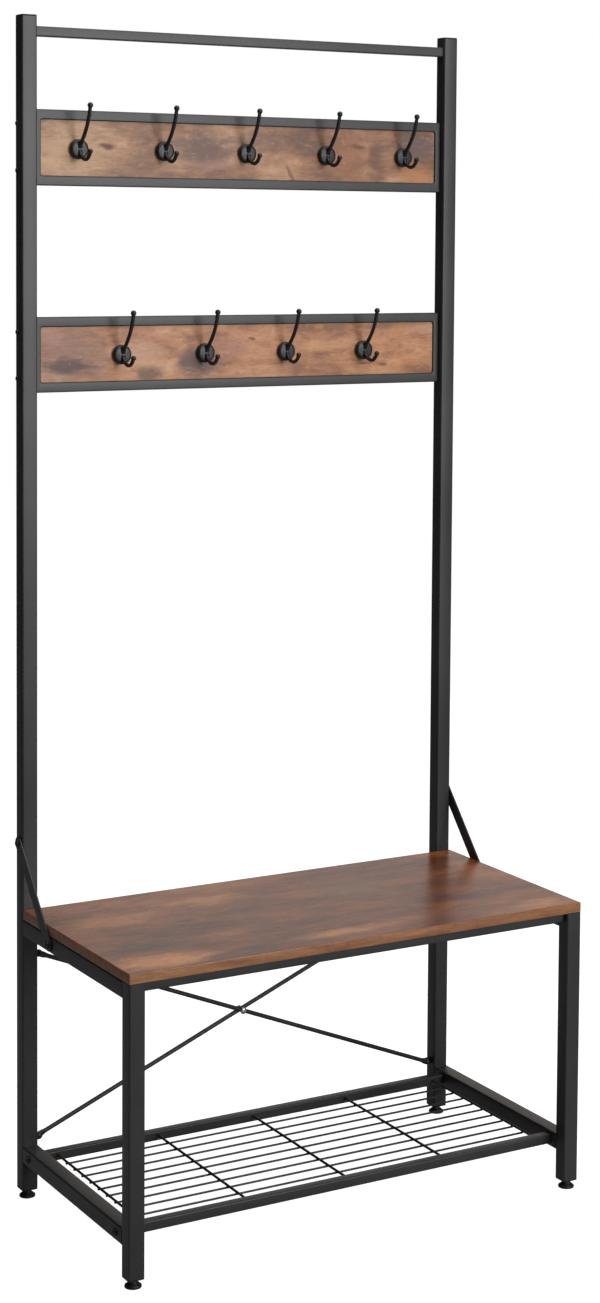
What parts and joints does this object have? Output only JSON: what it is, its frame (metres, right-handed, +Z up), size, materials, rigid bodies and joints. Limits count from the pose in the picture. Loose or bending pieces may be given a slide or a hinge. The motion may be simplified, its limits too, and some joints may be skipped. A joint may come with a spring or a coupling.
{
  "type": "hall tree with bench, hooks and shoe shelf",
  "caption": "Square-tube hall tree: a bench with a wire shoe shelf below, tall rear posts with a top rail, two framed hook boards with double coat hooks, and levelling feet.",
  "frame": {"origin": "on the floor, at the middle of the whole object in plan", "axes": "+Z up; -Y towards the person who sits on the bench; +X to the right seen from that person standing before the bench"},
  "size_m": [0.7822, 0.4, 1.8],
  "materials": {
    "powder_coat_steel": "charcoal powder coat, satin, fine texture",
    "black_plastic": "moulded, matte",
    "black_hook_enamel": "black enamel, semi-gloss",
    "zinc_plate": "zinc plated, bright",
    "panel_board_wood": "rustic light brown wood decor, satin",
    "bench_board_wood": "rustic brown wood decor, satin"
  },
  "bodies": {
    "frame": {"left_rear_post": "powder_coat_steel", "left_front_leg": "powder_coat_steel", "seat_left_rail": "powder_coat_steel", "left_brace": "powder_coat_steel", "left_brace_upper_bolt": "powder_coat_steel", "left_brace_lower_bolt": "powder_coat_steel", "shelf_left_rail": "powder_coat_steel", "shelf_left_front_bolt": "powder_coat_steel", "shelf_left_rear_bolt": "powder_coat_steel", "left_upper_panel_top_bolt": "powder_coat_steel", "left_upper_panel_bottom_bolt": "powder_coat_steel", "left_lower_panel_top_bolt": "powder_coat_steel", "left_lower_panel_bottom_bolt": "powder_coat_steel", "right_rear_post": "powder_coat_steel", "right_front_leg": "powder_coat_steel", "seat_right_rail": "powder_coat_steel", "right_brace": "powder_coat_steel", "right_brace_upper_bolt": "powder_coat_steel", "right_brace_lower_bolt": "powder_coat_steel", "shelf_right_rail": "powder_coat_steel", "shelf_right_front_bolt": "powder_coat_steel", "shelf_right_rear_bolt": "powder_coat_steel", "right_upper_panel_top_bolt": "powder_coat_steel", "right_upper_panel_bottom_bolt": "powder_coat_steel", "right_lower_panel_top_bolt": "powder_coat_steel", "right_lower_panel_bottom_bolt": "powder_coat_steel", "seat_front_rail": "powder_coat_steel", "seat_rear_rail": "powder_coat_steel", "shelf_front_rail": "powder_coat_steel", "shelf_rear_rail": "powder_coat_steel", "shelf_wire_grid": "powder_coat_steel", "front_cross_rod": "powder_coat_steel", "rear_cross_rod": "powder_coat_steel", "top_rail": "powder_coat_steel", "upper_panel_frame": "powder_coat_steel", "lower_panel_frame": "powder_coat_steel", "left_post_cap": "black_plastic", "left_front_insert": "black_plastic", "left_rear_insert": "black_plastic", "right_post_cap": "black_plastic", "right_front_insert": "black_plastic", "right_rear_insert": "black_plastic", "upper_hook_1": "black_hook_enamel", "upper_hook_2": "black_hook_enamel", "upper_hook_3": "black_hook_enamel", "upper_hook_4": "black_hook_enamel", "upper_hook_5": "black_hook_enamel", "lower_hook_1": "black_hook_enamel", "lower_hook_2": "black_hook_enamel", "lower_hook_3": "black_hook_enamel", "lower_hook_4": "black_hook_enamel", "cross_rod_rivet": "zinc_plate", "upper_board": "panel_board_wood", "lower_board": "panel_board_wood", "seat_board": "bench_board_wood"},
    "left_front_foot_body": {"left_front_foot": "black_plastic"},
    "left_rear_foot_body": {"left_rear_foot": "black_plastic"},
    "right_front_foot_body": {"right_front_foot": "black_plastic"},
    "right_rear_foot_body": {"right_rear_foot": "black_plastic"}
  },
  "joints": [
    {"name": "left_front_foot_height", "type": "slide", "parent": "frame", "child": "left_front_foot_body", "axis": [0, 0, -1], "range_m": [0, 0.012]},
    {"name": "left_rear_foot_height", "type": "slide", "parent": "frame", "child": "left_rear_foot_body", "axis": [0, 0, -1], "range_m": [0, 0.012]},
    {"name": "right_front_foot_height", "type": "slide", "parent": "frame", "child": "right_front_foot_body", "axis": [0, 0, -1], "range_m": [0, 0.012]},
    {"name": "right_rear_foot_height", "type": "slide", "parent": "frame", "child": "right_rear_foot_body", "axis": [0, 0, -1], "range_m": [0, 0.012]}
  ]
}
